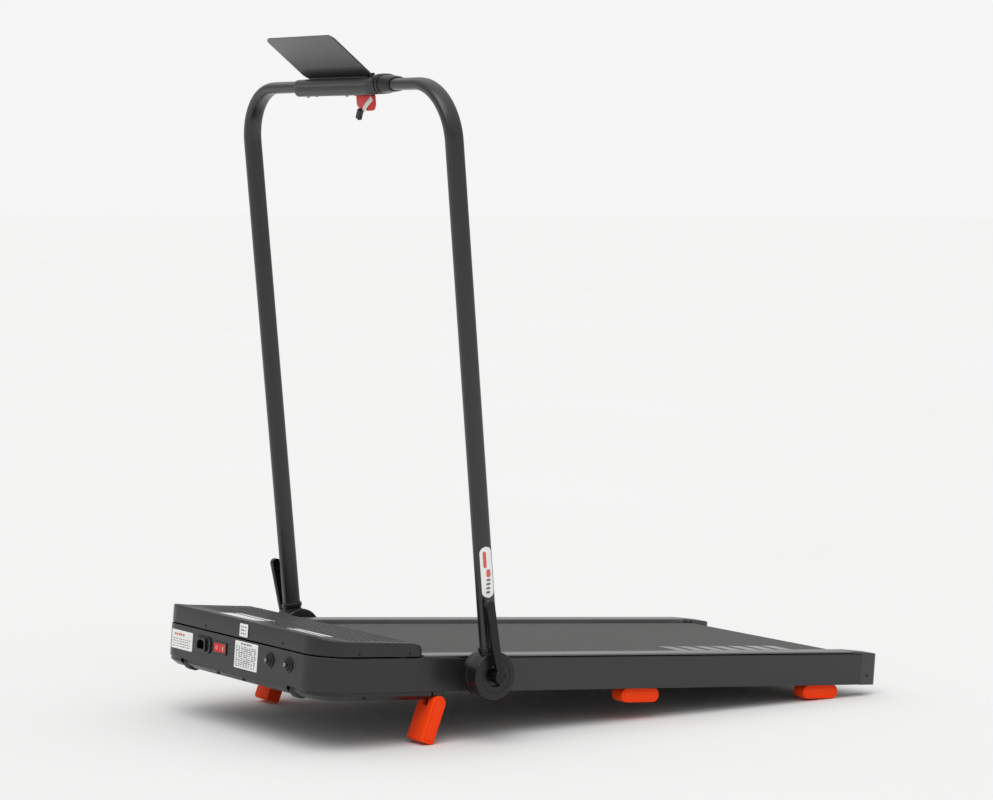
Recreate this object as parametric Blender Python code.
"""A folding walking treadmill with a fold-down handle, standing on its two incline feet.

Deck parts are modelled in deck coordinates: X across (the power side's right hand is +X), Y from the
front edge to the rear, Z up from the lower edge of the side rails. An empty tilts them to the floor.
Handle parts are modelled in the handle's plane, with the hinge axis at the origin and Z along the tubes.
"""

from math import atan2, cos, pi, radians, sin, sqrt

import bmesh
import bpy
from mathutils import Matrix, Vector

# Deck
DECK_LENGTH = 1.2645
DECK_WIDTH = 0.560
SIDE_HEIGHT = 0.0595
DECK_PITCH = radians(4.03)
SEAM = 0.0020
GAP = 0.0003
CORNER_RADIUS = 0.062
WALL = 0.0025
BAND_LENGTH = 0.302

# Foot rails and running surface
FOOT_RAIL_WIDTH = 0.0388
FOOT_RAIL_THICKNESS = 0.0030
BELT_HALF_WIDTH = 0.230
BELT_THICKNESS = 0.0018
BELT_DROP = 0.0074
ROLLER_RADIUS = 0.0215
ROLLER_SHAFT_RADIUS = 0.0075
FRONT_ROLLER_Y = 0.190
REAR_ROLLER_INSET = 0.0505
DECK_BOARD_THICKNESS = 0.018
DECK_BOARD_CLEARANCE = 0.022

# Motor housing
COVER_LENGTH = 0.2100
COVER_HEIGHT = 0.0335
PAN_DEPTH = 0.0145
PAN_LENGTH = 0.2620
PAN_CHAMFER = 0.0110
MOTOR_Y = 0.088
MOTOR_Z = 0.034
MOTOR_RADIUS = 0.036
MOTOR_PULLEY_RADIUS = 0.014
DRIVE_PULLEY_RADIUS = 0.026
DRIVE_BELT_X = (0.2345, 0.2435)

# Frame
TUBE_WIDTH = 0.020
TUBE_INSET = 0.013
TUBE_BOTTOM = 0.008
TUBE_HEIGHT = 0.038
TUBE_WALL = 0.002
CROSS_TUBES = (("front", 0.300), ("middle", 0.700), ("rear", 1.120))
CROSS_SIZE = (0.030, 0.022)

# End caps
CAP_LENGTH = 0.0405
CAP_TONGUE = 0.0220
CAP_SLOPE = 0.0045
CAP_CORNER = 0.010

# Feet
FOOT_LENGTH = 0.086
FOOT_THICKNESS = 0.0262
FOOT_WIDTH = 0.031
FOOT_INSET = 0.010
FEET_Y = (("middle", 0.700), ("rear", 1.135))
INCLINE_FOOT_WIDTH = 0.0470
INCLINE_THICKNESS = 0.0275
INCLINE_TOE = 0.0055
INCLINE_FOOT_X = 0.2820
INCLINE_PIVOT_Y = 0.2475
INCLINE_DROP = 0.0205
INCLINE_LEAN = radians(16.8)
LUG_WIDTH = 0.014
FOOT_PIN_RADIUS = 0.0030

# Transport wheels
WHEEL_X = 0.184
WHEEL_Y = 0.021
WHEEL_Z = -0.004
WHEEL_RADIUS = 0.016
WHEEL_WIDTH = 0.022
CHEEK_RADIUS = 0.0085
CHEEK_WIDTH = 0.007

# Hinges and handle
HINGE_Y = 0.3200
HINGE_Z = 0.036
HINGE_RADIUS = 0.0420
HINGE_STANDOFF = 0.0185
STANDOFF_RADIUS = 0.026
INNER_DISC = 0.0155
HUB_DISC = 0.0282
SPINDLE_RADIUS = 0.006
SPINDLE_HOLE = 0.0064
HANDLE_LEAN = radians(5.70)
HANDLE_HEIGHT = 1.0295
BEND_RADIUS = 0.100
HANDLE_SPLAY = 0.0068
TUBE_IN_HUB = 0.0128
HANDLE_TUBE = (0.0214, 0.0342)
HANDLE_WALL = 0.0016
SOCKET_DEPTH = 0.0300
SOCKET_BOTTOM = HINGE_RADIUS + 0.0007
SOCKET_TOP = 0.0515
SOCKET_WALL = 0.0028
LEVER_REACH = 0.1365
LEVER_LEAN = radians(5.3)
LEVER_THICKNESS = 0.010
LEVER_END_RADIUS = 0.0088
LEVER_ROOT_HALF = 0.0056
LEVER_BOSS = (0.0195, 0.0125)

# Console
CONSOLE_X = (-0.148, 0.1180)
CONSOLE_HALF_DEPTH = 0.0228
CONSOLE_BOTTOM = -0.0170
CONSOLE_SEAM = 0.0003
CONSOLE_TOP = 0.0135
CONSOLE_CORNER = 0.019
TABLET_SIZE = (0.220, 0.112, 0.003)
TABLET_X = -0.0124
TABLET_TILT = radians(47.0)
TABLET_CORNER = 0.012
TABLET_RISE = 0.0020
LEDGE_FRONT = 0.0110
LEDGE_LIP = 0.0070
LEDGE_WALL = 0.0025
COLLAR_X = (0.1190, 0.172)
BUTTON_RADIUS = 0.0042
BUTTONS = (("start_button", -0.112), ("slower_button", 0.060), ("faster_button", 0.080))
KEY_X = 0.0675
KEY_SIZE = (0.0515, 0.009, 0.0280)

# Front panel: centre X and Z of each fitting
INLET = (-0.1160, 0.0355)
ROCKER = (-0.0560, 0.0360)
BREAKERS = (("left", 0.1120), ("right", 0.1750))
BREAKER_Z = 0.0365
INLET_SIZE = (0.056, 0.030)
INLET_SHROUD = (0.032, 0.024, 0.0070)
ROCKER_SIZE = (0.035, 0.016)
ROCKER_TILT = radians(5)
BREAKER_FLANGE = 0.0142
BREAKER_BUTTON = 0.0055
BREAKER_BODY = 0.0080
PANEL_HOLE_CLEARANCE = 0.0004
STUD_REACH = 0.0085

HALF = DECK_WIDTH / 2
RAIL_TOP = SIDE_HEIGHT + SEAM + FOOT_RAIL_THICKNESS
COVER_BOTTOM = SIDE_HEIGHT + SEAM + 0.001
BELT_TOP = RAIL_TOP - BELT_DROP
ROLLER_Z = BELT_TOP - BELT_THICKNESS - GAP - ROLLER_RADIUS
REAR_ROLLER_Y = DECK_LENGTH - REAR_ROLLER_INSET
FRAME_X = HALF - TUBE_INSET - TUBE_WIDTH / 2
INNER_X = HALF - FOOT_RAIL_WIDTH
HINGE_X = HALF + GAP
INNER_DISC_X = HINGE_X + HINGE_STANDOFF
HUB_X = INNER_DISC_X + INNER_DISC + GAP
HUB_FACE = HUB_X + HUB_DISC
TUBE_X = HUB_X + TUBE_IN_HUB
LEVER_X = HUB_FACE + GAP

# The rear feet's round ends touch the floor, and so do the rear corners of the incline feet's toes.
FOOT_RADIUS = FOOT_THICKNESS / 2
REAR_TOUCH_Y = FEET_Y[-1][1] + FOOT_LENGTH / 2 - FOOT_RADIUS
FOOT_CENTRE_Z = -GAP - FOOT_RADIUS
REAR_EDGE_HEIGHT = (
    FOOT_RADIUS - FOOT_CENTRE_Z * cos(DECK_PITCH) - (DECK_LENGTH - REAR_TOUCH_Y) * sin(DECK_PITCH)
)
FRONT_EDGE_HEIGHT = REAR_EDGE_HEIGHT + DECK_LENGTH * sin(DECK_PITCH)
PIVOT_HEIGHT = (
    FRONT_EDGE_HEIGHT - INCLINE_PIVOT_Y * sin(DECK_PITCH) - INCLINE_DROP * cos(DECK_PITCH)
)
TOE_BACK = (INCLINE_THICKNESS / 2 - INCLINE_TOE) * sin(INCLINE_LEAN + DECK_PITCH)
INCLINE_REACH = INCLINE_TOE + (PIVOT_HEIGHT - INCLINE_TOE - TOE_BACK) / cos(INCLINE_LEAN + DECK_PITCH)
# The origin is midway between the breaker studs and the end caps.
REAR_Y = DECK_LENGTH * cos(DECK_PITCH) + (RAIL_TOP - CAP_SLOPE - 0.004) * sin(DECK_PITCH)
FRONT_Y = -STUD_REACH * cos(DECK_PITCH) + (BREAKER_Z - 0.004) * sin(DECK_PITCH)

for old in list(bpy.data.objects):
    bpy.data.objects.remove(old, do_unlink=True)

MATERIALS = {
    "painted_steel": ((0.045, 0.047, 0.047), 0.42, 0.0),
    "frame_steel": ((0.05, 0.05, 0.05), 0.5, 0.6),
    "black_plastic": ((0.02, 0.02, 0.02), 0.5, 0.0),
    "grey_plastic": ((0.075, 0.077, 0.078), 0.55, 0.0),
    "orange_plastic": ((0.95, 0.10, 0.015), 0.45, 0.0),
    "red_plastic": ((0.75, 0.03, 0.02), 0.35, 0.0),
    "belt_rubber": ((0.12, 0.12, 0.12), 0.8, 0.0),
    "deck_board": ((0.35, 0.22, 0.12), 0.7, 0.0),
    "bare_steel": ((0.6, 0.6, 0.6), 0.3, 1.0),
    "webbing": ((0.8, 0.77, 0.7), 0.9, 0.0),
}


def material(name):
    made = bpy.data.materials.get(name)
    if made:
        return made
    made = bpy.data.materials.new(name)
    made.use_nodes = True
    colour, roughness, metallic = MATERIALS[name]
    shader = made.node_tree.nodes["Principled BSDF"]
    shader.inputs["Base Color"].default_value = (*colour, 1)
    shader.inputs["Roughness"].default_value = roughness
    shader.inputs["Metallic"].default_value = metallic
    made.diffuse_color = (*colour, 1)
    return made


def empty(name, parent=None, location=(0, 0, 0), rotation=(0, 0, 0)):
    made = bpy.data.objects.new(name, None)
    made.parent = parent
    made.location = location
    made.rotation_euler = rotation
    bpy.context.collection.objects.link(made)
    return made


DECK = empty(
    "deck_origin",
    location=(0, -(FRONT_Y + REAR_Y) / 2, FRONT_EDGE_HEIGHT),
    rotation=(-DECK_PITCH, 0, 0),
)
HANDLE = empty(
    "handle_pivot",
    DECK,
    location=(0, HINGE_Y, HINGE_Z),
    rotation=(HANDLE_LEAN + DECK_PITCH, 0, 0),
)


def make(name, bm, finish, parent=DECK, location=(0, 0, 0), rotation=(0, 0, 0)):
    """Turns a bmesh into a named object, smooth on its round faces."""
    bmesh.ops.remove_doubles(bm, verts=bm.verts, dist=1e-6)
    bmesh.ops.recalc_face_normals(bm, faces=bm.faces)
    if bm.calc_volume(signed=True) < 0:
        bmesh.ops.reverse_faces(bm, faces=bm.faces)
    mesh = bpy.data.meshes.new(name)
    bm.to_mesh(mesh)
    bm.free()
    mesh.shade_smooth()
    mesh.set_sharp_from_angle(angle=radians(32))
    made = bpy.data.objects.new(name, mesh)
    made.parent = parent
    made.location = location
    made.rotation_euler = rotation
    bpy.context.collection.objects.link(made)
    if finish:
        mesh.materials.append(material(finish))
    return made


def tool(name, bm, parent=DECK, location=(0, 0, 0), rotation=(0, 0, 0)):
    """A hidden shape for a Boolean."""
    made = make(name, bm, None, parent, location, rotation)
    made.hide_render = True
    made.display_type = "WIRE"
    return made


def combine(target, other, operation):
    change = target.modifiers.new(other.name, "BOOLEAN")
    change.operation = operation
    change.object = other
    change.solver = "EXACT"


def cut(target, *cutters):
    for cutter in cutters:
        combine(target, cutter, "DIFFERENCE")


def place(axis, a, b, along):
    """A point of a section drawn across the given axis."""
    return {"x": (along, a, b), "y": (a, along, b), "z": (a, b, along)}[axis]


def prism(outline, low, high, axis):
    bm = bmesh.new()
    ends = [[bm.verts.new(place(axis, a, b, end)) for a, b in outline] for end in (low, high)]
    bm.faces.new(ends[0])
    bm.faces.new(ends[1])
    count = len(outline)
    for i in range(count):
        j = (i + 1) % count
        bm.faces.new((ends[0][i], ends[0][j], ends[1][j], ends[1][i]))
    return bm


def ring_prism(outer, inner, low, high, axis):
    """A prism with a hole along it; both outlines have as many points."""
    bm = bmesh.new()
    loops = [
        [bm.verts.new(place(axis, a, b, end)) for a, b in outline]
        for end in (low, high)
        for outline in (outer, inner)
    ]
    count = len(outer)
    for i in range(count):
        j = (i + 1) % count
        for first, second in ((0, 1), (1, 3), (3, 2), (2, 0)):
            bm.faces.new((loops[first][i], loops[first][j], loops[second][j], loops[second][i]))
    return bm


def box(low, high, bevel=0.0, segments=2):
    bm = bmesh.new()
    size = [b - a for a, b in zip(low, high)]
    centre = [(a + b) / 2 for a, b in zip(low, high)]
    bmesh.ops.create_cube(bm, size=1, matrix=Matrix.Translation(centre) @ Matrix.Diagonal((*size, 1)))
    if bevel:
        bmesh.ops.bevel(bm, geom=bm.edges, offset=bevel, segments=segments, affect="EDGES", profile=0.5)
    return bm


def turned(profile, steps, closed=False):
    """A shape turned about X from (x, radius) points; a closed profile has a bore."""
    bm = bmesh.new()
    rings = []
    for x, radius in profile:
        if radius == 0:
            rings.append([bm.verts.new((x, 0, 0))] * steps)
            continue
        turn = [2 * pi * i / steps for i in range(steps)]
        rings.append([bm.verts.new((x, radius * cos(a), radius * sin(a))) for a in turn])
    pairs = list(zip(rings, rings[1:]))
    if closed:
        pairs.append((rings[-1], rings[0]))
    for first, second in pairs:
        for i in range(steps):
            j = (i + 1) % steps
            corners = list(dict.fromkeys((first[i], first[j], second[j], second[i])))
            bm.faces.new(corners)
    return bm


def cylinder_x(radius, low, high, steps=24):
    return turned([(low, 0), (low, radius), (high, radius), (high, 0)], steps)


def arc(centre, radius, start, end, steps):
    turn = [start + (end - start) * i / steps for i in range(steps + 1)]
    return [(centre[0] + radius * cos(a), centre[1] + radius * sin(a)) for a in turn]


def round_rect(low, high, radius, steps=5):
    (x0, y0), (x1, y1) = low, high
    centres = ((x1 - radius, y0 + radius), (x1 - radius, y1 - radius))
    centres += ((x0 + radius, y1 - radius), (x0 + radius, y0 + radius))
    points = []
    for i, centre in enumerate(centres):
        points += arc(centre, radius, (i - 1) * pi / 2, i * pi / 2, steps)
    return points


def oval(half_a, half_b, steps=20, power=2.6):
    """A flat oval; a higher power makes its sides flatter."""
    points = []
    for i in range(steps):
        a, b = cos(2 * pi * i / steps), sin(2 * pi * i / steps)
        size = (abs(a) ** power + abs(b) ** power) ** (-1 / power)
        points.append((half_a * a * size, half_b * b * size))
    return points


def deck_outline(inset, rear, radius, rear_radius=0.004, steps=7):
    """The plan of the front housing, front to rear on the right, then back on the left."""
    half, front = HALF - inset, inset
    right = arc((half - radius, front + radius), radius, -pi / 2, 0, steps)
    right += arc((half - rear_radius, rear - rear_radius), rear_radius, 0, pi / 2, 3)
    return right + [(-x, y) for x, y in reversed(right)]


def skin(bm, rings):
    """Closes a stack of rings with strips across the last one, and returns the first ring."""
    loops = [[bm.verts.new(point) for point in ring] for ring in rings]
    count = len(loops[0])
    for first, second in zip(loops, loops[1:]):
        for i in range(count):
            j = (i + 1) % count
            bm.faces.new((first[i], first[j], second[j], second[i]))
    last = loops[-1]
    for i in range(count // 2 - 1):
        bm.faces.new((last[i], last[i + 1], last[count - 2 - i], last[count - 1 - i]))
    return loops[0]


def shell(outer_rings, inner_rings):
    """A hollow body, open where the two first rings meet."""
    bm = bmesh.new()
    outer, inner = skin(bm, outer_rings), skin(bm, inner_rings)
    for i in range(len(outer)):
        j = (i + 1) % len(outer)
        bm.faces.new((outer[i], outer[j], inner[j], inner[i]))
    return bm


def sides():
    """The two sides of the object: a name and the sign of X."""
    return (("left", -1), ("right", 1))


def mirrored(points, side):
    return [(side * x, z) for x, z in points]


# Front housing ---------------------------------------------------------------------------------


def front_band():
    outer = deck_outline(0, BAND_LENGTH, CORNER_RADIUS)
    inner = deck_outline(WALL, BAND_LENGTH + 0.02, CORNER_RADIUS - WALL)
    band = make("front_band", prism(outer, 0, SIDE_HEIGHT, "z"), "grey_plastic")
    hollow = tool("band_hollow", prism(inner, -0.01, SIDE_HEIGHT + 0.01, "z"))
    cut(band, hollow)
    fittings = (
        ("inlet", INLET, (INLET_SIZE[0] / 2 - 0.003, INLET_SIZE[1] / 2 - 0.003), 0.006),
        ("rocker", ROCKER, (ROCKER_SIZE[0] / 2 + 0.002, ROCKER_SIZE[1] / 2 + 0.001), 0.001),
    )
    for name, (x, z), (wide, tall), radius in fittings:
        hole = round_rect((x - wide, z - tall), (x + wide, z + tall), radius)
        cut(band, tool(f"{name}_hole", prism(hole, -0.01, 0.01, "y")))
    radius = BREAKER_BODY + PANEL_HOLE_CLEARANCE
    for name, x in BREAKERS:
        hole = arc((x, BREAKER_Z), radius, 0, 2 * pi * 23 / 24, 23)
        cut(band, tool(f"breaker_hole_{name}", prism(hole, -0.01, 0.01, "y")))


def cover_top(y):
    """Height of the cover's top: it falls quickly at the front, then slowly, and dips at the rear."""
    share = y / COVER_LENGTH
    fall = 0.0065 * (1 - (1 - min(1, share / 0.32)) ** 2) + 0.0040 * share
    dip = 0.0065 * max(0, (share - 0.88) / 0.12) ** 2
    return COVER_BOTTOM + COVER_HEIGHT - fall - dip


def motor_cover():
    def ring(inset, drop, bottom=None, lower=0.0):
        return [(x, y, bottom if bottom else cover_top(y) - drop - lower) for x, y in cover_plan(inset)]

    outer = [ring(0.001, 0, COVER_BOTTOM), ring(0.0014, 0.0050), ring(0.0026, 0.0015), ring(0.0055, 0)]
    inner = [ring(0.001 + WALL, 0, COVER_BOTTOM), ring(0.0065, 0, lower=WALL)]
    make("motor_cover", shell(outer, inner), "grey_plastic")


def cover_plan(inset):
    """The cover's plan with cross rows on its long sides, so that its top can follow a curve."""
    half, front, rear = HALF - inset, inset, COVER_LENGTH - inset
    radius = CORNER_RADIUS - inset
    right = arc((half - radius, front + radius), radius, -pi / 2, 0, 7)
    rows = 6
    start = front + radius
    stop = rear - 0.008
    right += [(half, start + (stop - start) * i / rows) for i in range(1, rows)]
    right += arc((half - 0.008, stop), 0.008, 0, pi / 2, 4)
    return right + [(-x, y) for x, y in reversed(right)]


def bottom_pan():
    def ring(inset, z, rear):
        return [(x, y, z) for x, y in deck_outline(inset, rear, CORNER_RADIUS - inset)]

    rear_slope = 0.0185
    outer = [
        ring(0.002, -GAP, PAN_LENGTH),
        ring(0.002, -0.0065, PAN_LENGTH - 0.009),
        ring(0.002 + PAN_CHAMFER, -PAN_DEPTH, PAN_LENGTH - rear_slope),
    ]
    inner = [
        ring(0.002 + WALL, -GAP, PAN_LENGTH - WALL),
        ring(0.002 + WALL, -0.0055, PAN_LENGTH - 0.0105),
        ring(0.003 + WALL + PAN_CHAMFER, WALL - PAN_DEPTH, PAN_LENGTH - rear_slope - WALL),
    ]
    pan = make("bottom_pan", shell(outer, inner), "black_plastic")
    for name, side in sides():
        x = side * WHEEL_X
        reach = WHEEL_WIDTH / 2 + 0.002
        slot = box((x - reach, -0.01, -0.03), (x + reach, WHEEL_Y + WHEEL_RADIUS + 0.004, 0.01))
        radius, half = CHEEK_RADIUS, CHEEK_WIDTH / 2
        outline = arc((WHEEL_Y, WHEEL_Z), radius, pi, 2 * pi, 8)
        outline += [(WHEEL_Y + radius, -GAP), (WHEEL_Y - radius, -GAP)]
        for end, middle in (("outer", x + side * (reach + half)), ("inner", x - side * (reach + half))):
            cheek = prism(outline, middle - half, middle + half, "x")
            combine(pan, tool(f"wheel_cheek_{end}_{name}", cheek), "UNION")
        cut(pan, tool(f"wheel_slot_{name}", slot))
        hole = cylinder_x(0.0029, x - 0.05, x + 0.05, 12)
        cut(pan, tool(f"wheel_hole_{name}", hole, location=(0, WHEEL_Y, WHEEL_Z)))
        # The pan stays clear of the incline foot and its bracket.
        middle = side * (INCLINE_FOOT_X - INCLINE_FOOT_WIDTH / 2)
        low = (middle - INCLINE_FOOT_WIDTH / 2 - 0.001, INCLINE_PIVOT_Y - 0.0155, -0.03)
        high = (middle + INCLINE_FOOT_WIDTH / 2 + 0.001, INCLINE_PIVOT_Y + 0.03, 0.01)
        cut(pan, tool(f"foot_clearance_{name}", box(low, high)))


def transport_wheels():
    half = WHEEL_WIDTH / 2
    axle = 0.0025
    tread = [(-half, WHEEL_RADIUS - 0.002), (-half + 0.002, WHEEL_RADIUS), (half - 0.002, WHEEL_RADIUS)]
    profile = [(-half - 0.008, 0), (-half - 0.008, axle), (-half - 0.0006, axle), (-half - 0.0006, 0.006)]
    profile += [(-half, 0.006), *tread, (half, WHEEL_RADIUS - 0.002), (half, 0.006)]
    profile += [(half + 0.0006, 0.006), (half + 0.0006, axle), (half + 0.008, axle), (half + 0.008, 0)]
    for name, side in sides():
        wheel = turned(profile, 24)
        make(f"transport_wheel_{name}", wheel, "black_plastic", location=(side * WHEEL_X, WHEEL_Y, WHEEL_Z))


# Front panel -----------------------------------------------------------------------------------


def power_inlet():
    """A flanged three-pin inlet, with a shroud standing out round its mouth."""
    x, z = INLET
    w, h = INLET_SIZE
    plate = round_rect((x - w / 2, z - h / 2), (x + w / 2, z + h / 2), 0.011)
    inlet = make("power_inlet", prism(plate, -0.0020, -GAP, "y"), "black_plastic")
    edge = 0.0035
    body = round_rect((x - w / 2 + edge, z - h / 2 + edge), (x + w / 2 - edge, z + h / 2 - edge), 0.005)
    combine(inlet, tool("inlet_body", prism(body, -0.001, 0.026, "y")), "UNION")
    w, h, reach = INLET_SHROUD
    shroud = round_rect((x - w / 2, z - h / 2), (x + w / 2, z + h / 2), 0.004)
    combine(inlet, tool("inlet_shroud", prism(shroud, -reach, 0.0, "y")), "UNION")
    mouth = [(-0.012, -0.008), (0.012, -0.008), (0.012, 0.003), (0.007, 0.008)]
    mouth += [(-0.007, 0.008), (-0.012, 0.003)]
    mouth = [(x + dx, z + dz) for dx, dz in mouth]
    cut(inlet, tool("inlet_mouth", prism(mouth, -0.02, 0.020, "y")))
    for i, (dx, dz) in enumerate(((-0.007, -0.0025), (0, 0.0025), (0.007, -0.0025))):
        pin = box((x + dx - 0.001, 0.001, z + dz - 0.002), (x + dx + 0.001, 0.0215, z + dz + 0.002))
        combine(inlet, tool(f"inlet_pin_{i}", pin), "UNION")


def power_switch():
    x, z = ROCKER
    w, h = ROCKER_SIZE

    def outline(wide, tall, radius):
        low = (x - w / 2 - wide, z - h / 2 - tall)
        high = (x + w / 2 + wide, z + h / 2 + tall)
        return round_rect(low, high, radius, 3)

    bezel = make("switch_bezel", prism(outline(0.0045, 0.003, 0.0015), -0.0020, -GAP, "y"), "black_plastic")
    combine(bezel, tool("switch_body", prism(outline(0.0016, 0.0007, 0.001), -0.001, 0.022, "y")), "UNION")
    mouth = box((x - w / 2, -0.01, z - h / 2), (x + w / 2, 0.014, z + h / 2))
    cut(bezel, tool("switch_mouth", mouth))
    # The rocker's face is dished, and its back is round about its axis.
    reach = w / 2 - 0.0006
    face = [(reach * i / 6, -0.0042 + 0.0016 * (1 - (i / 6) ** 2)) for i in range(-6, 7)]
    back = arc((0, 0), reach * 0.55, 0.15 * pi, 0.85 * pi, 8)
    section = face + [(reach - 0.0015, 0.001), *back, (-reach + 0.0015, 0.001)]
    rocker = prism(section, -h / 2 + GAP, h / 2 - GAP, "z")
    make("power_rocker", rocker, "red_plastic", location=(x, 0.0015, z), rotation=(0, 0, ROCKER_TILT))


def breakers():
    turn = (0, 0, pi / 2)
    for name, x in BREAKERS:
        bore = BREAKER_BUTTON + GAP
        profile = [(-0.0030, bore), (-0.0030, 0.0105), (-0.0016, BREAKER_FLANGE), (-GAP, BREAKER_FLANGE)]
        profile += [(-GAP, BREAKER_BODY), (0.026, BREAKER_BODY), (0.026, 0.004), (0.012, 0.004)]
        profile += [(0.012, bore)]
        where = (x, 0, BREAKER_Z)
        make(f"breaker_{name}", turned(profile, 24, True), "black_plastic", location=where, rotation=turn)
        root = BREAKER_BUTTON - 0.0005
        stud = [(-STUD_REACH, 0), (-STUD_REACH, 0.0040), (0.001 - STUD_REACH, root)]
        stud += [(0.006, root), (0.006, 0)]
        button = turned(stud, 20)
        make(f"breaker_button_{name}", button, "black_plastic", location=where, rotation=turn)


# Frame, rails and feet -------------------------------------------------------------------------


def frame_tubes():
    bottom, top = TUBE_BOTTOM, TUBE_BOTTOM + TUBE_HEIGHT
    for name, side in sides():
        x = side * FRAME_X
        low, high = x - TUBE_WIDTH / 2, x + TUBE_WIDTH / 2
        outer = round_rect((low, bottom), (high, top), 0.003, 2)
        inner_low = (low + TUBE_WALL, bottom + TUBE_WALL)
        inner = round_rect(inner_low, (high - TUBE_WALL, top - TUBE_WALL), 0.001, 2)
        end = DECK_LENGTH - CAP_LENGTH + 0.016
        tube = make(f"frame_tube_{name}", ring_prism(outer, inner, 0.030, end, "y"), "frame_steel")
        for place_name, y in (("front", FRONT_ROLLER_Y), ("rear", REAR_ROLLER_Y)):
            ends = sorted((x, x - side * 0.03))
            hole = cylinder_x(ROLLER_SHAFT_RADIUS + 0.0004, *ends, 16)
            cut(tube, tool(f"shaft_hole_{place_name}_{name}", hole, location=(0, y, ROLLER_Z)))
    reach = FRAME_X - TUBE_WIDTH / 2 - GAP
    bottom = BELT_TOP - BELT_THICKNESS - GAP - DECK_BOARD_THICKNESS - GAP - CROSS_SIZE[1]
    for name, y in CROSS_TUBES:
        half = CROSS_SIZE[0] / 2
        outer = round_rect((y - half, bottom), (y + half, bottom + CROSS_SIZE[1]), 0.003, 2)
        inner_low = (y - half + TUBE_WALL, bottom + TUBE_WALL)
        inner_high = (y + half - TUBE_WALL, bottom + CROSS_SIZE[1] - TUBE_WALL)
        inner = round_rect(inner_low, inner_high, 0.001, 2)
        make(f"cross_tube_{name}", ring_prism(outer, inner, -reach, reach, "x"), "frame_steel")


def side_rails():
    start, end = BAND_LENGTH + GAP, DECK_LENGTH - CAP_LENGTH - GAP
    skin_wall, flange = 0.003, 0.003
    inside = INNER_X + 0.002
    outer = [(inside, 0), *arc((HALF - 0.003, 0.003), 0.003, -pi / 2, 0, 3)]
    outer += arc((HALF - 0.002, SIDE_HEIGHT - 0.002), 0.002, 0, pi / 2, 3) + [(inside, SIDE_HEIGHT)]
    inner = [(inside, SIDE_HEIGHT - flange), (HALF - skin_wall, SIDE_HEIGHT - flange)]
    inner += [(HALF - skin_wall, flange), (inside, flange)]
    for name, side in sides():
        make(f"side_rail_{name}", prism(mirrored(outer + inner, side), start, end, "y"), "painted_steel")


def foot_rails():
    under = RAIL_TOP - FOOT_RAIL_THICKNESS
    lip = BELT_TOP - 0.001
    start = COVER_LENGTH + 0.0008
    end = DECK_LENGTH - CAP_LENGTH - CAP_TONGUE - GAP
    outline = [(INNER_X, lip), (INNER_X + 0.002, lip), (INNER_X + 0.002, under), (HALF - 0.027, under)]
    outline += [(HALF - 0.027, SIDE_HEIGHT + GAP), (HALF - 0.013, SIDE_HEIGHT + GAP), (HALF - 0.013, under)]
    outline += [(HALF - 0.001, under), *arc((HALF - 0.0015, RAIL_TOP - 0.0015), 0.0015, 0, pi / 2, 3)]
    outline += arc((INNER_X + 0.0015, RAIL_TOP - 0.0015), 0.0015, pi / 2, pi, 3)
    for name, side in sides():
        make(f"foot_rail_{name}", prism(mirrored(outline, side), start, end, "y"), "grey_plastic")


def end_caps():
    seam = DECK_LENGTH - CAP_LENGTH
    rear_top = RAIL_TOP - CAP_SLOPE
    profile = [(seam, 0), (DECK_LENGTH - 0.004, 0)]
    profile += arc((DECK_LENGTH - 0.003, 0.003), 0.003, -pi / 2, 0, 2)[1:]
    profile += arc((DECK_LENGTH - 0.004, rear_top - 0.004), 0.004, 0, pi / 2 - 0.1, 3)
    tongue = seam - CAP_TONGUE
    profile += [(tongue, RAIL_TOP), (tongue, SIDE_HEIGHT + GAP), (seam, SIDE_HEIGHT + GAP)]
    inside = INNER_X - 0.0005
    for name, side in sides():
        cap = make(f"end_cap_{name}", prism(profile, side * inside, side * HALF, "x"), "black_plastic")
        front = seam - CAP_TONGUE - 0.01
        plan = [(inside - 0.01, front), (HALF, front)]
        plan += arc((HALF - CAP_CORNER, DECK_LENGTH - CAP_CORNER), CAP_CORNER, 0, pi / 2, 6)
        plan += [(inside - 0.01, DECK_LENGTH)]
        plan = [(side * x, y) for x, y in plan]
        combine(cap, tool(f"cap_plan_{name}", prism(plan, -0.01, 0.1, "z")), "INTERSECT")
        low = (min(side * (inside + 0.003), side * (HALF - 0.003)), seam - 0.002, 0.003)
        high = (max(side * (inside + 0.003), side * (HALF - 0.003)), DECK_LENGTH - CAP_CORNER * 0.55, 0.054)
        cut(cap, tool(f"cap_hollow_{name}", box(low, high)))
        hole = cylinder_x(0.0062, 0, 0.05, 16)
        where = (side * FRAME_X, DECK_LENGTH - 0.03, ROLLER_Z)
        cut(cap, tool(f"bolt_hole_{name}", hole, location=where, rotation=(0, 0, pi / 2)))


def tension_bolts():
    start = REAR_ROLLER_Y + ROLLER_SHAFT_RADIUS + 0.0006
    length = DECK_LENGTH - 0.002 - start
    head = 0.006
    socket = [(length, 0.0025), (length - 0.003, 0.0025), (length - 0.003, 0)]
    profile = [(0, 0), (0, 0.003), (length - head, 0.003), (length - head, 0.005), (length, 0.005), *socket]
    for name, side in sides():
        where = (side * FRAME_X, start, ROLLER_Z)
        turn = (0, 0, pi / 2)
        make(f"tension_bolt_{name}", turned(profile, 16), "bare_steel", location=where, rotation=turn)


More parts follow.
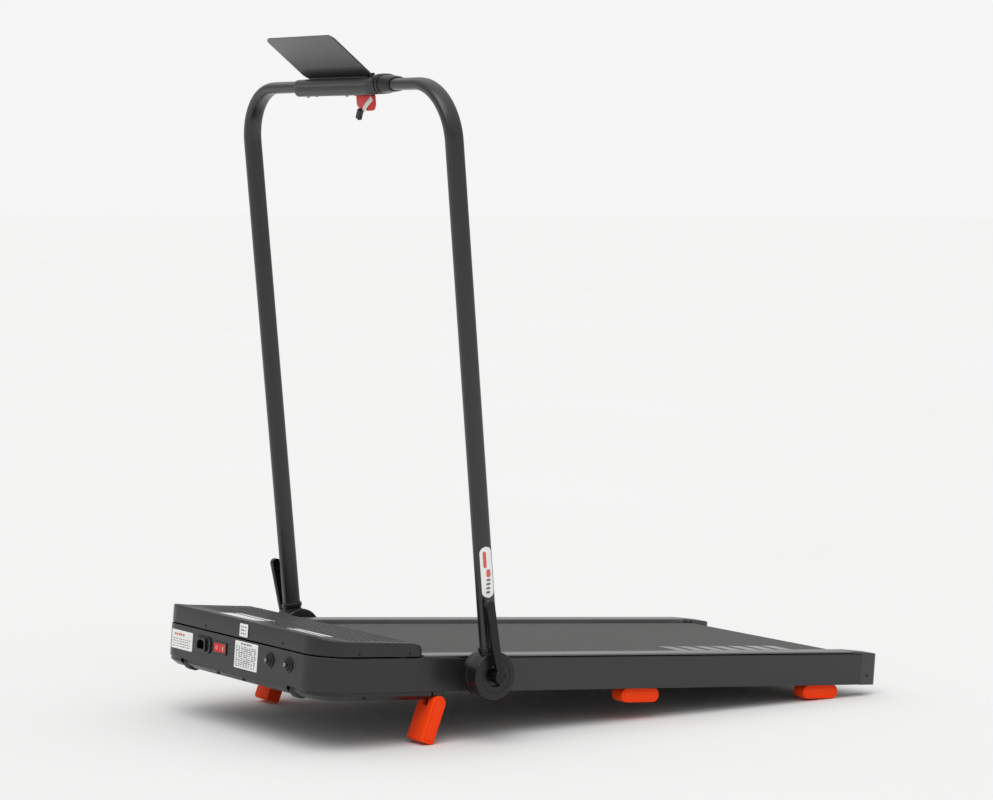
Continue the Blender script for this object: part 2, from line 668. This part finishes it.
def foot_block(outline, low_x, high_x, side):
    """A block with a rim round a shallow panel on its outer face."""
    bm = prism(outline, low_x, high_x, "x")
    bmesh.ops.recalc_face_normals(bm, faces=bm.faces)
    outer_x = high_x if side > 0 else low_x
    face = [f for f in bm.faces if all(abs(v.co.x - outer_x) < 1e-6 for v in f.verts)]
    bmesh.ops.inset_region(bm, faces=face, thickness=0.0015, depth=0)
    bmesh.ops.inset_region(bm, faces=face, thickness=0.0008, depth=-0.0008)
    return bm


def fixed_feet():
    run = FOOT_LENGTH - FOOT_THICKNESS
    outline = arc((0, 0), FOOT_RADIUS, -pi / 2, pi / 2, 8)
    outline += arc((-run, 0), FOOT_RADIUS, pi / 2, 3 * pi / 2, 8)
    for place_name, y in FEET_Y:
        for name, side in sides():
            ends = sorted((side * (HALF - FOOT_INSET), side * (HALF - FOOT_INSET - FOOT_WIDTH)))
            block = foot_block(outline, *ends, side)
            where = (0, y + run / 2, FOOT_CENTRE_Z)
            make(f"{place_name}_foot_{name}", block, "orange_plastic", location=where)


def incline_feet():
    """Each foot has a slot in its upper end, where its pin turns in a lug."""
    inner_x = INCLINE_FOOT_X - INCLINE_FOOT_WIDTH
    middle = INCLINE_FOOT_X - INCLINE_FOOT_WIDTH / 2
    half = LUG_WIDTH / 2
    neck = 0.0075
    thick, toe = INCLINE_THICKNESS / 2, INCLINE_TOE
    outline = arc((0, 0), thick, 0, pi, 8)
    outline += arc((toe - thick, toe - INCLINE_REACH), toe, pi, 3 * pi / 2, 4)
    outline += arc((thick - toe, toe - INCLINE_REACH), toe, 3 * pi / 2, 2 * pi, 4)
    for name, side in sides():
        where = (0, INCLINE_PIVOT_Y, -INCLINE_DROP)
        turn = (-INCLINE_LEAN, 0, 0)
        ends = sorted((side * INCLINE_FOOT_X, side * inner_x))
        block = foot_block(outline, *ends, side)
        foot = make(f"incline_foot_{name}", block, "orange_plastic", location=where, rotation=turn)
        gap = half + 0.0005
        slot = sorted((side * (middle - gap), side * (middle + gap)))
        low, high = (slot[0], -0.03, -neck - 0.0015), (slot[1], 0.03, 0.03)
        cut(foot, tool(f"lug_slot_{name}", box(low, high), location=where, rotation=turn))
        ends = sorted((side * (middle - half - 0.004), side * (middle + half + 0.004)))
        pin = cylinder_x(FOOT_PIN_RADIUS, *ends, 12)
        combine(foot, tool(f"foot_pin_{name}", pin, location=where), "UNION")
        base, top = thick + 0.0010, INCLINE_DROP - GAP
        ends = (side * middle - half, side * middle + half)
        shape = [(-neck, top), *arc((0, 0), neck, pi, 2 * pi, 8), (neck, top)]
        lug = make(f"incline_lug_{name}", prism(shape, *ends, "x"), "black_plastic", location=where)
        plate = box((side * middle - 0.019, -0.012, base), (side * middle + 0.019, 0.012, top))
        combine(lug, tool(f"lug_plate_{name}", plate, location=where), "UNION")
        hole = cylinder_x(FOOT_PIN_RADIUS + GAP, side * middle - 0.02, side * middle + 0.02, 12)
        cut(lug, tool(f"lug_hole_{name}", hole, location=where))


# Running gear ----------------------------------------------------------------------------------


def loop_outline(first, first_radius, second, second_radius, steps=10):
    """The path of a belt round two pulleys, as (y, z) points."""
    dy, dz = second[0] - first[0], second[1] - first[1]
    along = atan2(dz, dy)
    spread = (first_radius - second_radius) / sqrt(dy * dy + dz * dz)
    turn = pi / 2 - spread
    # The chords of each arc clear the pulley by being drawn a little outside it.
    grown = [radius / cos(pi / 2 / steps * 1.15) for radius in (first_radius, second_radius)]
    points = arc(first, grown[0], along + turn, along + 2 * pi - turn, steps)
    return points + arc(second, grown[1], along - turn, along + turn, steps)


def running_gear():
    front, rear = (FRONT_ROLLER_Y, ROLLER_Z), (REAR_ROLLER_Y, ROLLER_Z)
    clear = ROLLER_RADIUS + GAP
    outer = loop_outline(front, clear + BELT_THICKNESS, rear, clear + BELT_THICKNESS, 12)
    inner = loop_outline(front, clear, rear, clear, 12)
    make("running_belt", ring_prism(outer, inner, -BELT_HALF_WIDTH, BELT_HALF_WIDTH, "x"), "belt_rubber")
    top = BELT_TOP - BELT_THICKNESS - GAP
    start = FRONT_ROLLER_Y + ROLLER_RADIUS + DECK_BOARD_CLEARANCE
    end = REAR_ROLLER_Y - ROLLER_RADIUS - DECK_BOARD_CLEARANCE
    low = (-INNER_X + 0.002, start, top - DECK_BOARD_THICKNESS)
    make("deck_board", box(low, (INNER_X - 0.002, end, top), 0.003, 2), "deck_board")
    face, shaft = BELT_HALF_WIDTH + 0.002, FRAME_X
    pulley_low, pulley_high = DRIVE_BELT_X
    left = [(-shaft, 0), (-shaft, ROLLER_SHAFT_RADIUS), (-face, ROLLER_SHAFT_RADIUS)]
    left += [(-face, ROLLER_RADIUS - 0.001)]
    left += [(-face + 0.001, ROLLER_RADIUS), (face - 0.001, ROLLER_RADIUS), (face, ROLLER_RADIUS - 0.001)]
    shaft_end = [(shaft, ROLLER_SHAFT_RADIUS), (shaft, 0)]
    rear_roller = turned([*left, (face, ROLLER_SHAFT_RADIUS), *shaft_end], 24)
    make("rear_roller", rear_roller, "bare_steel", location=(0, *rear))
    pulley = [(face, 0.012), (pulley_low, 0.012), (pulley_low, DRIVE_PULLEY_RADIUS)]
    pulley += [(pulley_high, DRIVE_PULLEY_RADIUS), (pulley_high, ROLLER_SHAFT_RADIUS)]
    make("front_roller", turned([*left, *pulley, *shaft_end], 24), "bare_steel", location=(0, *front))


def drive():
    motor = (MOTOR_Y, MOTOR_Z)
    low, high = 0.030, 0.172
    r = MOTOR_RADIUS
    profile = [(low - 0.006, 0), (low - 0.006, 0.012), (low, 0.012), (low, r - 0.003), (low + 0.003, r)]
    profile += [(high - 0.003, r), (high, r - 0.003), (high, 0)]
    make("drive_motor", turned(profile, 24), "bare_steel", location=(0, *motor))
    base = WALL - PAN_DEPTH + GAP
    saddle = box((low + 0.02, MOTOR_Y - 0.03, base), (high - 0.02, MOTOR_Y + 0.03, MOTOR_Z - 0.020))
    bracket = make("motor_bracket", saddle, "frame_steel")
    seat = cylinder_x(r + GAP, low, high, 24)
    cut(bracket, tool("motor_seat", seat, location=(0, *motor)))
    pulley_low, pulley_high = DRIVE_BELT_X
    start = high + GAP
    rotor = [(start, 0), (start, 0.006), (0.178, 0.006), (0.178, 0.032), (0.190, 0.032), (0.190, 0.006)]
    rotor += [(pulley_low, 0.006), (pulley_low, MOTOR_PULLEY_RADIUS)]
    rotor += [(pulley_high, MOTOR_PULLEY_RADIUS), (pulley_high, 0)]
    make("motor_pulley", turned(rotor, 24), "bare_steel", location=(0, *motor))
    front = (FRONT_ROLLER_Y, ROLLER_Z)
    inner = loop_outline(motor, MOTOR_PULLEY_RADIUS + GAP, front, DRIVE_PULLEY_RADIUS + GAP)
    thick = 0.0018
    outer = loop_outline(motor, MOTOR_PULLEY_RADIUS + GAP + thick, front, DRIVE_PULLEY_RADIUS + GAP + thick)
    belt = ring_prism(outer, inner, pulley_low + 0.0005, pulley_high - 0.0005, "x")
    make("drive_belt", belt, "belt_rubber")
    case = box((-0.200, 0.060, base), (-0.030, 0.150, 0.004), 0.002, 1)
    controller = make("motor_controller", case, "frame_steel")
    for i in range(7):
        fin = box((-0.190 + 0.024 * i, 0.066, 0.003), (-0.186 + 0.024 * i, 0.144, 0.030))
        combine(controller, tool(f"heat_fin_{i}", fin), "UNION")


# Handle ----------------------------------------------------------------------------------------


def hinges():
    edge = 0.002
    for name, side in sides():
        r = HINGE_RADIUS
        base = [(HINGE_X, 0), (HINGE_X, STANDOFF_RADIUS), (INNER_DISC_X, STANDOFF_RADIUS)]
        base += [(INNER_DISC_X, r - edge)]
        base += [(INNER_DISC_X + edge, r), (HUB_X - GAP - 0.0008, r), (HUB_X - GAP, r - 0.0008)]
        base += [(HUB_X - GAP, SPINDLE_RADIUS), (HUB_FACE + 0.003, SPINDLE_RADIUS), (HUB_FACE + 0.003, 0)]
        base = turned([(side * x, radius) for x, radius in base], 36)
        make(f"hinge_base_{name}", base, "black_plastic", location=(0, HINGE_Y, HINGE_Z))
        hub = [(HUB_X, SPINDLE_HOLE), (HUB_X, r - 0.0008), (HUB_X + 0.0008, r), (HUB_FACE - edge, r)]
        hub += [(HUB_FACE, r - edge), (HUB_FACE, 0.019), (HUB_FACE - 0.004, 0.019)]
        hub += [(HUB_FACE - 0.004, SPINDLE_HOLE)]
        hub = turned([(side * x, radius) for x, radius in hub], 36, True)
        hub = make(f"hinge_hub_{name}", hub, "black_plastic", HANDLE)
        x = side * TUBE_X
        half_a, half_b = HANDLE_TUBE[0] / 2, HANDLE_TUBE[1] / 2
        root = [(x + a, b) for a, b in oval(TUBE_IN_HUB - 0.0004, half_b + 0.001)]
        root = prism(root, 0.022, SOCKET_BOTTOM + 0.004, "z")
        combine(hub, tool(f"socket_root_{name}", root, HANDLE), "UNION")
        neck = [(x + a, b) for a, b in oval(half_a + SOCKET_WALL, half_b + SOCKET_WALL)]
        combine(hub, tool(f"socket_{name}", prism(neck, SOCKET_BOTTOM, SOCKET_TOP, "z"), HANDLE), "UNION")
        room = [(x + a, b) for a, b in oval(half_a + GAP, half_b + GAP)]
        cut(hub, tool(f"socket_room_{name}", prism(room, SOCKET_DEPTH, SOCKET_TOP + 0.01, "z"), HANDLE))


def handle_path():
    """The tube's centre line as (x, z, angle), with the angle of its normal from +X."""
    top_x = TUBE_X + HANDLE_SPLAY
    start = SOCKET_DEPTH + 0.0005
    bend = BEND_RADIUS
    half = [(TUBE_X, start, 0.0), (TUBE_X + HANDLE_SPLAY * 0.5, (start + HANDLE_HEIGHT - bend) / 2, 0.0)]
    steps = 9
    for i in range(steps + 1):
        a = i * pi / 2 / steps
        half.append((top_x - bend + bend * cos(a), HANDLE_HEIGHT - bend + bend * sin(a), a))
    return half + [(-x, z, pi - a) for x, z, a in reversed(half)]


def handle_tube():
    bm = bmesh.new()
    walls = []
    for shrink in (0, HANDLE_WALL):
        section = oval(HANDLE_TUBE[0] / 2 - shrink, HANDLE_TUBE[1] / 2 - shrink)
        rings = []
        for x, z, a in handle_path():
            rings.append([bm.verts.new((x + n * cos(a), y, z + n * sin(a))) for n, y in section])
        for first, second in zip(rings, rings[1:]):
            for i in range(len(section)):
                j = (i + 1) % len(section)
                bm.faces.new((first[i], first[j], second[j], second[i]))
        walls.append(rings)
    for end in (0, -1):
        outer, inner = walls[0][end], walls[1][end]
        for i in range(len(outer)):
            j = (i + 1) % len(outer)
            bm.faces.new((outer[i], outer[j], inner[j], inner[i]))
    make("handle_tube", bm, "painted_steel", HANDLE)


def lock_levers():
    depth, boss_radius = LEVER_BOSS
    low, high = LEVER_X, LEVER_X + depth
    arm_high = high - 0.002
    arm_low = arm_high - LEVER_THICKNESS
    turn = (LEVER_LEAN, 0, 0)
    for name, side in sides():
        profile = [(low + 0.0035, 0), (low + 0.0035, SPINDLE_HOLE), (low, SPINDLE_HOLE)]
        profile += [(low, boss_radius - 0.0015), (low + 0.001, boss_radius)]
        profile += [(high - 0.002, boss_radius), (high, boss_radius - 0.002), (high, 0)]
        boss = turned([(side * x, radius) for x, radius in profile], 24)
        lever = make(f"lock_lever_{name}", boss, "black_plastic", HANDLE, rotation=turn)
        tip = LEVER_REACH - LEVER_END_RADIUS
        half = LEVER_ROOT_HALF
        outline = [(-half, 0.004), (half, 0.004), (half, 0.02), *arc((0, tip), LEVER_END_RADIUS, 0, pi, 8)]
        outline += [(-half, 0.02)]
        arm = prism(outline, *sorted((side * arm_low, side * arm_high)), "x")
        rim = [e for e in arm.edges if abs(e.verts[0].co.x - e.verts[1].co.x) < 1e-6]
        bmesh.ops.bevel(arm, geom=rim, offset=0.0020, segments=2, affect="EDGES", profile=0.5)
        combine(lever, tool(f"lever_arm_{name}", arm, HANDLE, rotation=turn), "UNION")


# Console ---------------------------------------------------------------------------------------


def tube_room():
    """The space that the crossbar takes, with clearance."""
    half_a, half_b = HANDLE_TUBE[0] / 2 + GAP, HANDLE_TUBE[1] / 2 + GAP
    return prism([(b, HANDLE_HEIGHT + a) for a, b in oval(half_a, half_b)], -0.2, 0.2, "x")


def console_half(name, low, high, low_edge, high_edge):
    """A half of the console's housing, with its outer edges cut back by the given amounts."""
    def ring(inset, z):
        a = (CONSOLE_X[0] + inset, -CONSOLE_HALF_DEPTH + inset)
        b = (CONSOLE_X[1] - inset, CONSOLE_HALF_DEPTH - inset)
        return [(x, y, HANDLE_HEIGHT + z) for x, y in round_rect(a, b, CONSOLE_CORNER - inset)]

    turn = [i * pi / 8 for i in range(5)]
    levels = [(0, low)]
    if low_edge:
        levels = [(low_edge * (1 - sin(a)), low + low_edge * (1 - cos(a))) for a in turn]
    if high_edge:
        levels += [(high_edge * (1 - cos(a)), high - high_edge * (1 - sin(a))) for a in turn]
    else:
        levels.append((0, high))
    bm = bmesh.new()
    rings = [[bm.verts.new(point) for point in ring(inset, z)] for inset, z in levels]
    for first, second in zip(rings, rings[1:]):
        for i in range(len(first)):
            j = (i + 1) % len(first)
            bm.faces.new((first[i], first[j], second[j], second[i]))
    bm.faces.new(rings[0])
    bm.faces.new(rings[-1])
    half = make(name, bm, "black_plastic", HANDLE)
    cut(half, tool(name + "_room", tube_room(), HANDLE))
    return half


def console():
    lower = console_half("console_lower", CONSOLE_BOTTOM, CONSOLE_SEAM, 0.010, 0)
    upper = console_half("console_upper", CONSOLE_SEAM + GAP, CONSOLE_TOP, 0, 0.0085)
    slot_low = (KEY_X - 0.0075, -0.0035, HANDLE_HEIGHT + CONSOLE_BOTTOM - 0.01)
    slot_high = (KEY_X + 0.0075, 0.0035, HANDLE_HEIGHT + CONSOLE_BOTTOM + 0.003)
    cut(lower, tool("key_slot", box(slot_low, slot_high), HANDLE))
    z = HANDLE_HEIGHT + CONSOLE_SEAM + 0.0050
    for name, x in BUTTONS:
        turn = (0, 0, pi / 2)
        hole = cylinder_x(BUTTON_RADIUS + GAP, -0.0035, 0.01, 16)
        where = (x, CONSOLE_HALF_DEPTH, z)
        cut(upper, tool(f"{name}_hole", hole, HANDLE, where, turn))
        profile = [(-0.0018, 0), (-0.0018, BUTTON_RADIUS), (0.0008, BUTTON_RADIUS)]
        profile += [(0.0014, BUTTON_RADIUS - 0.0006), (0.0014, 0)]
        make(name, turned(profile, 16), "grey_plastic", HANDLE, where, turn)


def tablet_plate():
    width, height, thick = TABLET_SIZE
    outline = round_rect((TABLET_X - width / 2, 0), (TABLET_X + width / 2, height), TABLET_CORNER)
    sheet = prism(outline, 0, thick, "y")
    foot_z = HANDLE_HEIGHT + CONSOLE_TOP + GAP
    where = (0, -0.0020, foot_z + TABLET_RISE - 0.0010)
    plate = make("tablet_plate", sheet, "painted_steel", HANDLE, where, (TABLET_TILT, 0, 0))
    front, lip = LEDGE_FRONT, foot_z + LEDGE_LIP
    ledge = [(-0.006, foot_z), (front, foot_z), (front, lip), (front - LEDGE_WALL, lip)]
    ledge += [(front - LEDGE_WALL, foot_z + TABLET_RISE), (-0.006, foot_z + TABLET_RISE)]
    reach = width / 2 - TABLET_CORNER
    base = prism(ledge, TABLET_X - reach, TABLET_X + reach, "x")
    combine(plate, tool("tablet_ledge", base, HANDLE), "UNION")


def grip_collar():
    """A collar of two rings and a tapering sleeve, which follows the bar's oval."""
    x0, x1 = COLLAR_X
    stations = [(x0, 0.0062), (x0 + 0.0015, 0.0072), (x0 + 0.0080, 0.0072), (x0 + 0.0092, 0.0060)]
    stations += [(x0 + 0.0096, 0.0036), (x0 + 0.0116, 0.0036), (x0 + 0.0120, 0.0060), (x0 + 0.0135, 0.0070)]
    stations += [(x0 + 0.0180, 0.0068), (x0 + 0.0200, 0.0056), (x0 + 0.0360, 0.0040)]
    stations += [(x1 - 0.003, 0.0026), (x1, 0.0016)]
    bm = bmesh.new()
    rings = []
    for x, extra in stations:
        section = oval(HANDLE_TUBE[0] / 2 + extra, HANDLE_TUBE[1] / 2 + extra * 0.8)
        rings.append([bm.verts.new((x, b, HANDLE_HEIGHT + a + extra * 0.2)) for a, b in section])
    inner = oval(HANDLE_TUBE[0] / 2 + GAP, HANDLE_TUBE[1] / 2 + GAP)
    for x in (x1, x0):
        rings.append([bm.verts.new((x, b, HANDLE_HEIGHT + a)) for a, b in inner])
    for first, second in zip(rings, rings[1:] + rings[:1]):
        for i in range(len(first)):
            j = (i + 1) % len(first)
            bm.faces.new((first[i], first[j], second[j], second[i]))
    make("grip_collar", bm, "black_plastic", HANDLE)


def safety_key():
    width, thick, height = KEY_SIZE
    top = HANDLE_HEIGHT + CONSOLE_BOTTOM - GAP
    half = width / 2
    outline = [(half - 0.002, top), (half, top - 0.002), (half, top - height * 0.62)]
    outline += [(half - 0.004, top - height * 0.90), (half - 0.009, top - height), (0.006, top - height)]
    outline += [(0.0, top - height * 0.80), (-0.010, top - height * 0.92)]
    outline += [(-half + 0.006, top - height * 0.80)]
    outline += [(-half, top - height * 0.60), (-half, top - 0.002), (-half + 0.002, top)]
    body = prism([(KEY_X + x, z) for x, z in outline], -thick / 2, thick / 2, "y")
    key = make("safety_key", body, "red_plastic", HANDLE)
    peg = box((KEY_X - 0.007, -0.003, top - 0.002), (KEY_X + 0.007, 0.003, top + 0.0026))
    combine(key, tool("key_peg", peg, HANDLE), "UNION")
    # The strap crosses the key's front face from its right shoulder down to the clip.
    front = -thick / 2 - GAP
    points = [(0.0275, -0.0230), (0.0205, -0.0280), (0.0115, -0.0345)]
    points += [(0.0040, -0.0395), (-0.0020, -0.0435)]
    bow = [0.0, -0.0010, -0.0022, -0.0020, -0.0006]
    strap, wide = bmesh.new(), 0.0045
    rings = []
    for (x, z), y in zip(points, bow):
        across = Vector((-0.53, 0, 0.85)) * wide
        centre = Vector((KEY_X + x, front + y, HANDLE_HEIGHT + z))
        deep = Vector((0, -0.0012, 0))
        corners = (centre + across, centre - across, centre - across + deep, centre + across + deep)
        rings.append([strap.verts.new(corner) for corner in corners])
    for first, second in zip(rings, rings[1:]):
        for i in range(4):
            j = (i + 1) % 4
            strap.faces.new((first[i], first[j], second[j], second[i]))
    strap.faces.new(rings[0])
    strap.faces.new(rings[-1])
    make("key_strap", strap, "webbing", HANDLE)
    clip = box((-0.0055, -0.0040, -0.0095), (0.0055, 0.0040, 0.0095), 0.0015, 2)
    where = (KEY_X - 0.0110, front - 0.0042, HANDLE_HEIGHT - 0.0505)
    clip = make("key_clip", clip, "black_plastic", HANDLE, where, (0, radians(30), 0))
    jaw = box((-0.01, -0.0008, -0.02), (0.01, 0.0008, -0.001))
    cut(clip, tool("clip_jaw", jaw, HANDLE, where, (0, radians(30), 0)))


front_band()
motor_cover()
bottom_pan()
transport_wheels()
power_inlet()
power_switch()
breakers()
frame_tubes()
side_rails()
foot_rails()
end_caps()
tension_bolts()
fixed_feet()
incline_feet()
running_gear()
drive()
hinges()
handle_tube()
lock_levers()
console()
tablet_plate()
grip_collar()
safety_key()
